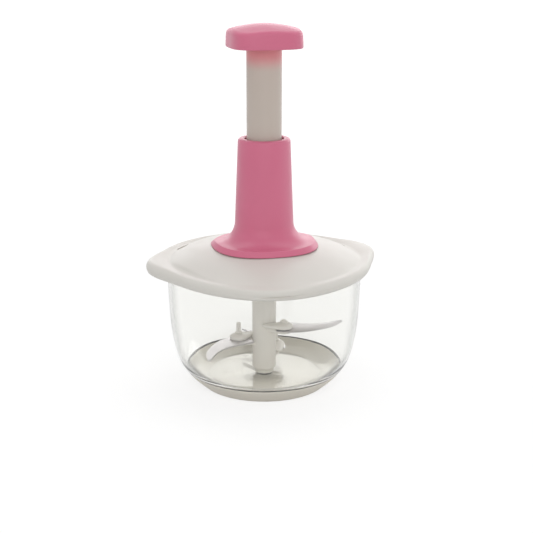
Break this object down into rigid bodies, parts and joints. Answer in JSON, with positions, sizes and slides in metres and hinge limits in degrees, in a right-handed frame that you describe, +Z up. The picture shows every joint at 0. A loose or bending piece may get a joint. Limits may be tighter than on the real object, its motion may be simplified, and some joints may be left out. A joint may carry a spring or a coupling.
{
  "type": "plunger food chopper",
  "caption": "Hand chopper: pushing the knob on its tube down the neck spins stacked sickle blades in a clear bowl under a lobed push-on lid.",
  "frame": {"origin": "centre of the base cup's underside, on the table", "axes": "+Z up along the plunger, +X towards one of the two finger lobes of the lid, +Y at right angles to it"},
  "size_m": [0.1791, 0.1708, 0.2726],
  "materials": {
    "pink_plastic": "satin moulded plastic, carnation pink",
    "white_plastic": "satin moulded plastic, milk white",
    "tube_plastic": "smooth extruded plastic, ivory white",
    "clear_bowl": "polished clear plastic",
    "soft_base": "soft moulded elastomer, warm off-white",
    "seal_silicone": "translucent white silicone",
    "blade_steel": "stamped and ground stainless steel",
    "steel": "drawn stainless steel",
    "bearing_plastic": "natural acetal, matte"
  },
  "bodies": {
    "base": {"base_cup": "soft_base", "bowl": "clear_bowl", "bowl_spindle": "steel"},
    "blade_carrier": {"spindle_bush": "bearing_plastic"},
    "blade_unit": {"blade_column": "white_plastic", "blade_upper": "blade_steel", "blade_clamp_upper": "white_plastic", "blade_pin_upper": "white_plastic", "blade_middle": "blade_steel", "blade_clamp_middle": "white_plastic", "blade_pin_middle": "white_plastic", "blade_lower": "blade_steel", "blade_clamp_lower": "white_plastic", "blade_pin_lower": "white_plastic"},
    "lid": {"lid_shell": "white_plastic", "lid_liner": "white_plastic", "lid_seal": "seal_silicone", "liner_screws": "steel", "coupler_bush": "bearing_plastic", "rod_bearing": "bearing_plastic", "spring_seat": "steel", "return_spring": "steel", "neck_housing": "pink_plastic", "neck_screws": "steel", "guide_sleeve": "pink_plastic"},
    "drive_rod": {"twist_rod": "steel", "clutch_dog": "bearing_plastic", "rod_screw": "steel"},
    "coupler": {"drive_coupler": "bearing_plastic"},
    "plunger": {"push_tube": "tube_plastic", "tube_screws": "steel", "knob_cap": "pink_plastic", "knob_insert": "pink_plastic", "knob_screw": "steel", "drive_sleeve": "tube_plastic", "drive_nut": "bearing_plastic"}
  },
  "joints": [
    {"name": "lid_lift", "type": "slide", "parent": "base", "child": "lid", "axis": [0, 0, 1], "range_m": [0, 0.2]},
    {"name": "plunger_slide", "type": "slide", "parent": "lid", "child": "plunger", "axis": [0, 0, -1], "range_m": [0, 0.06], "stiffness_N_per_m": 200, "springref_m": -0.02, "deforming": ["return_spring"]},
    {"name": "rod_spin", "type": "hinge", "parent": "lid", "child": "drive_rod", "pos_m": [0, 0, 0.12], "axis": [0, 0, 1], "range_deg": [-540.5, 0]},
    {"name": "coupler_spin", "type": "hinge", "parent": "lid", "child": "coupler", "pos_m": [0, 0, 0.09], "axis": [0, 0, 1], "range_deg": [-540.5, 0]},
    {"name": "blade_lift", "type": "slide", "parent": "base", "child": "blade_carrier", "axis": [0, 0, 1], "range_m": [0, 0.1001]},
    {"name": "blade_spin", "type": "hinge", "parent": "blade_carrier", "child": "blade_unit", "pos_m": [0, 0, 0.04], "axis": [0, 0, 1], "range_deg": [-540.5, 0]}
  ],
  "couplings": [
    {"joint": "rod_spin", "follows": "plunger_slide", "rad_per_m": -157.08},
    {"joint": "coupler_spin", "follows": "plunger_slide", "rad_per_m": -157.08},
    {"joint": "blade_spin", "follows": "plunger_slide", "rad_per_m": -157.08},
    {"joint": "blade_lift", "follows": "lid_lift", "ratio": 0.5}
  ]
}
